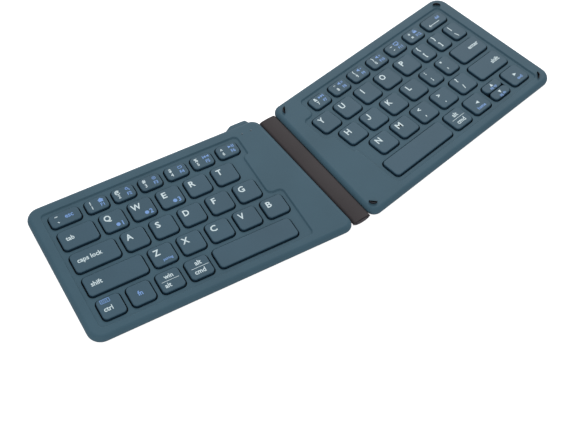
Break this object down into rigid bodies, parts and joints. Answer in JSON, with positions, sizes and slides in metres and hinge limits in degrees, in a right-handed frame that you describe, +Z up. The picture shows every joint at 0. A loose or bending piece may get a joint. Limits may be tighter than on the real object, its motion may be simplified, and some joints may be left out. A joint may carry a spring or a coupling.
{
  "type": "folding keyboard",
  "caption": "Slim folding keyboard, open flat: two angled key halves with sunken key decks on a double-pivot spine that folds shut.",
  "frame": {"origin": "on the table, under the middle of the open keyboard's plan", "axes": "+Z up, +Y to the back of the keyboard, +X to the right; the hinge line runs along Y at X = 0 and the user sits at -Y"},
  "size_m": [0.3378, 0.1176, 0.0079],
  "materials": {
    "body_blue": "satin slate-blue ABS",
    "key_blue": "satin slate-blue ABS",
    "cover_brown": "matte brown-grey ABS",
    "strip_brown": "matte brown-grey",
    "rubber_black": "matte",
    "dome_rubber": "matte",
    "steel": "plain",
    "board_green": "solder mask",
    "battery_foil": "foil",
    "cable_film": "polyimide film"
  },
  "bodies": {
    "left_half": {"left_top_case": "body_blue", "left_bottom_cover": "cover_brown", "left_backplate": "steel", "left_dome_sheet": "dome_rubber", "main_board": "board_green", "usb_c_port": "steel", "left_hinge_leaf": "steel", "left_feet": "rubber_black", "left_screws": "steel"},
    "spine": {"hinge_spine": "strip_brown", "hinge_strip": "strip_brown", "hinge_pins": "steel", "flex_cable": "cable_film"},
    "right_half": {"right_top_case": "body_blue", "right_bottom_cover": "cover_brown", "right_backplate": "steel", "right_dome_sheet": "dome_rubber", "battery": "battery_foil", "right_hinge_leaf": "steel", "corner_bumpers": "rubber_black", "right_feet": "rubber_black", "right_screws": "steel"},
    "key_q_body": {"key_q": "key_blue"},
    "key_w_body": {"key_w_": "key_blue"},
    "key_e_body": {"key_e": "key_blue"},
    "key_r_body": {"key_r": "key_blue"},
    "key_t_body": {"key_t": "key_blue"},
    "key_a_body": {"key_a": "key_blue"},
    "key_s_body": {"key_s": "key_blue"},
    "key_d_body": {"key_d_": "key_blue"},
    "key_f_body": {"key_f": "key_blue"},
    "key_g_body": {"key_g": "key_blue"},
    "key_z_body": {"key_z": "key_blue"},
    "key_x_body": {"key_x": "key_blue"},
    "key_c_body": {"key_c": "key_blue"},
    "key_v_body": {"key_v": "key_blue"},
    "key_b_body": {"key_b": "key_blue"},
    "tab_key_body": {"tab_key": "key_blue"},
    "caps_lock_key_body": {"caps_lock_key": "key_blue"},
    "left_shift_key_body": {"left_shift_key": "key_blue"},
    "left_space_bar_body": {"left_space_bar": "key_blue"},
    "left_number_keys_body": {"left_number_keys": "key_blue"},
    "left_bottom_keys_body": {"left_bottom_keys": "key_blue"},
    "key_y_body": {"key_y": "key_blue"},
    "key_u_body": {"key_u": "key_blue"},
    "key_i_body": {"key_i": "key_blue"},
    "key_o_body": {"key_o": "key_blue"},
    "key_p_body": {"key_p": "key_blue"},
    "key_h_body": {"key_h": "key_blue"},
    "key_j_body": {"key_j": "key_blue"},
    "key_k_body": {"key_k": "key_blue"},
    "key_l_body": {"key_l": "key_blue"},
    "key_n_body": {"key_n": "key_blue"},
    "key_m_body": {"key_m": "key_blue"},
    "right_shift_key_body": {"right_shift_key": "key_blue"},
    "enter_key_body": {"enter_key": "key_blue"},
    "right_space_bar_body": {"right_space_bar": "key_blue"},
    "right_number_keys_body": {"right_number_keys": "key_blue"},
    "punctuation_keys_body": {"punctuation_keys": "key_blue"},
    "right_bottom_keys_body": {"right_bottom_keys": "key_blue"}
  },
  "joints": [
    {"name": "spine_turn", "type": "hinge", "parent": "left_half", "child": "spine", "pos_m": [-0.0041, 0, 0.0032], "axis": [0, -1, 0], "range_deg": [0, 90]},
    {"name": "right_half_turn", "type": "hinge", "parent": "spine", "child": "right_half", "pos_m": [0.0041, 0, 0.0032], "axis": [0, -1, 0], "range_deg": [0, 90]},
    {"name": "press_key_q", "type": "slide", "parent": "left_half", "child": "key_q_body", "axis": [0, 0, -1], "range_m": [0, 0.0012], "stiffness_N_per_m": 250, "springref_m": -0.001},
    {"name": "press_key_w", "type": "slide", "parent": "left_half", "child": "key_w_body", "axis": [0, 0, -1], "range_m": [0, 0.0012], "stiffness_N_per_m": 250, "springref_m": -0.001},
    {"name": "press_key_e", "type": "slide", "parent": "left_half", "child": "key_e_body", "axis": [0, 0, -1], "range_m": [0, 0.0012], "stiffness_N_per_m": 250, "springref_m": -0.001},
    {"name": "press_key_r", "type": "slide", "parent": "left_half", "child": "key_r_body", "axis": [0, 0, -1], "range_m": [0, 0.0012], "stiffness_N_per_m": 250, "springref_m": -0.001},
    {"name": "press_key_t", "type": "slide", "parent": "left_half", "child": "key_t_body", "axis": [0, 0, -1], "range_m": [0, 0.0012], "stiffness_N_per_m": 250, "springref_m": -0.001},
    {"name": "press_key_a", "type": "slide", "parent": "left_half", "child": "key_a_body", "axis": [0, 0, -1], "range_m": [0, 0.0012], "stiffness_N_per_m": 250, "springref_m": -0.001},
    {"name": "press_key_s", "type": "slide", "parent": "left_half", "child": "key_s_body", "axis": [0, 0, -1], "range_m": [0, 0.0012], "stiffness_N_per_m": 250, "springref_m": -0.001},
    {"name": "press_key_d", "type": "slide", "parent": "left_half", "child": "key_d_body", "axis": [0, 0, -1], "range_m": [0, 0.0012], "stiffness_N_per_m": 250, "springref_m": -0.001},
    {"name": "press_key_f", "type": "slide", "parent": "left_half", "child": "key_f_body", "axis": [0, 0, -1], "range_m": [0, 0.0012], "stiffness_N_per_m": 250, "springref_m": -0.001},
    {"name": "press_key_g", "type": "slide", "parent": "left_half", "child": "key_g_body", "axis": [0, 0, -1], "range_m": [0, 0.0012], "stiffness_N_per_m": 250, "springref_m": -0.001},
    {"name": "press_key_z", "type": "slide", "parent": "left_half", "child": "key_z_body", "axis": [0, 0, -1], "range_m": [0, 0.0012], "stiffness_N_per_m": 250, "springref_m": -0.001},
    {"name": "press_key_x", "type": "slide", "parent": "left_half", "child": "key_x_body", "axis": [0, 0, -1], "range_m": [0, 0.0012], "stiffness_N_per_m": 250, "springref_m": -0.001},
    {"name": "press_key_c", "type": "slide", "parent": "left_half", "child": "key_c_body", "axis": [0, 0, -1], "range_m": [0, 0.0012], "stiffness_N_per_m": 250, "springref_m": -0.001},
    {"name": "press_key_v", "type": "slide", "parent": "left_half", "child": "key_v_body", "axis": [0, 0, -1], "range_m": [0, 0.0012], "stiffness_N_per_m": 250, "springref_m": -0.001},
    {"name": "press_key_b", "type": "slide", "parent": "left_half", "child": "key_b_body", "axis": [0, 0, -1], "range_m": [0, 0.0012], "stiffness_N_per_m": 250, "springref_m": -0.001},
    {"name": "press_tab_key", "type": "slide", "parent": "left_half", "child": "tab_key_body", "axis": [0, 0, -1], "range_m": [0, 0.0012], "stiffness_N_per_m": 250, "springref_m": -0.001},
    {"name": "press_caps_lock_key", "type": "slide", "parent": "left_half", "child": "caps_lock_key_body", "axis": [0, 0, -1], "range_m": [0, 0.0012], "stiffness_N_per_m": 250, "springref_m": -0.001},
    {"name": "press_left_shift_key", "type": "slide", "parent": "left_half", "child": "left_shift_key_body", "axis": [0, 0, -1], "range_m": [0, 0.0012], "stiffness_N_per_m": 250, "springref_m": -0.001},
    {"name": "press_left_space_bar", "type": "slide", "parent": "left_half", "child": "left_space_bar_body", "axis": [0, 0, -1], "range_m": [0, 0.0012], "stiffness_N_per_m": 250, "springref_m": -0.001},
    {"name": "press_left_number_keys", "type": "slide", "parent": "left_half", "child": "left_number_keys_body", "axis": [0, 0, -1], "range_m": [0, 0.0012], "stiffness_N_per_m": 1750, "springref_m": -0.001},
    {"name": "press_left_bottom_keys", "type": "slide", "parent": "left_half", "child": "left_bottom_keys_body", "axis": [0, 0, -1], "range_m": [0, 0.0012], "stiffness_N_per_m": 1000, "springref_m": -0.001},
    {"name": "press_key_y", "type": "slide", "parent": "right_half", "child": "key_y_body", "axis": [0, 0, -1], "range_m": [0, 0.0012], "stiffness_N_per_m": 250, "springref_m": -0.001},
    {"name": "press_key_u", "type": "slide", "parent": "right_half", "child": "key_u_body", "axis": [0, 0, -1], "range_m": [0, 0.0012], "stiffness_N_per_m": 250, "springref_m": -0.001},
    {"name": "press_key_i", "type": "slide", "parent": "right_half", "child": "key_i_body", "axis": [0, 0, -1], "range_m": [0, 0.0012], "stiffness_N_per_m": 250, "springref_m": -0.001},
    {"name": "press_key_o", "type": "slide", "parent": "right_half", "child": "key_o_body", "axis": [0, 0, -1], "range_m": [0, 0.0012], "stiffness_N_per_m": 250, "springref_m": -0.001},
    {"name": "press_key_p", "type": "slide", "parent": "right_half", "child": "key_p_body", "axis": [0, 0, -1], "range_m": [0, 0.0012], "stiffness_N_per_m": 250, "springref_m": -0.001},
    {"name": "press_key_h", "type": "slide", "parent": "right_half", "child": "key_h_body", "axis": [0, 0, -1], "range_m": [0, 0.0012], "stiffness_N_per_m": 250, "springref_m": -0.001},
    {"name": "press_key_j", "type": "slide", "parent": "right_half", "child": "key_j_body", "axis": [0, 0, -1], "range_m": [0, 0.0012], "stiffness_N_per_m": 250, "springref_m": -0.001},
    {"name": "press_key_k", "type": "slide", "parent": "right_half", "child": "key_k_body", "axis": [0, 0, -1], "range_m": [0, 0.0012], "stiffness_N_per_m": 250, "springref_m": -0.001},
    {"name": "press_key_l", "type": "slide", "parent": "right_half", "child": "key_l_body", "axis": [0, 0, -1], "range_m": [0, 0.0012], "stiffness_N_per_m": 250, "springref_m": -0.001},
    {"name": "press_key_n", "type": "slide", "parent": "right_half", "child": "key_n_body", "axis": [0, 0, -1], "range_m": [0, 0.0012], "stiffness_N_per_m": 250, "springref_m": -0.001},
    {"name": "press_key_m", "type": "slide", "parent": "right_half", "child": "key_m_body", "axis": [0, 0, -1], "range_m": [0, 0.0012], "stiffness_N_per_m": 250, "springref_m": -0.001},
    {"name": "press_right_shift_key", "type": "slide", "parent": "right_half", "child": "right_shift_key_body", "axis": [0, 0, -1], "range_m": [0, 0.0012], "stiffness_N_per_m": 250, "springref_m": -0.001},
    {"name": "press_enter_key", "type": "slide", "parent": "right_half", "child": "enter_key_body", "axis": [0, 0, -1], "range_m": [0, 0.0012], "stiffness_N_per_m": 250, "springref_m": -0.001},
    {"name": "press_right_space_bar", "type": "slide", "parent": "right_half", "child": "right_space_bar_body", "axis": [0, 0, -1], "range_m": [0, 0.0012], "stiffness_N_per_m": 250, "springref_m": -0.001},
    {"name": "press_right_number_keys", "type": "slide", "parent": "right_half", "child": "right_number_keys_body", "axis": [0, 0, -1], "range_m": [0, 0.0012], "stiffness_N_per_m": 1750, "springref_m": -0.001},
    {"name": "press_punctuation_keys", "type": "slide", "parent": "right_half", "child": "punctuation_keys_body", "axis": [0, 0, -1], "range_m": [0, 0.0012], "stiffness_N_per_m": 2000, "springref_m": -0.001},
    {"name": "press_right_bottom_keys", "type": "slide", "parent": "right_half", "child": "right_bottom_keys_body", "axis": [0, 0, -1], "range_m": [0, 0.0012], "stiffness_N_per_m": 1250, "springref_m": -0.001}
  ],
  "couplings": [
    {"joint": "spine_turn", "follows": "right_half_turn", "ratio": 1}
  ]
}
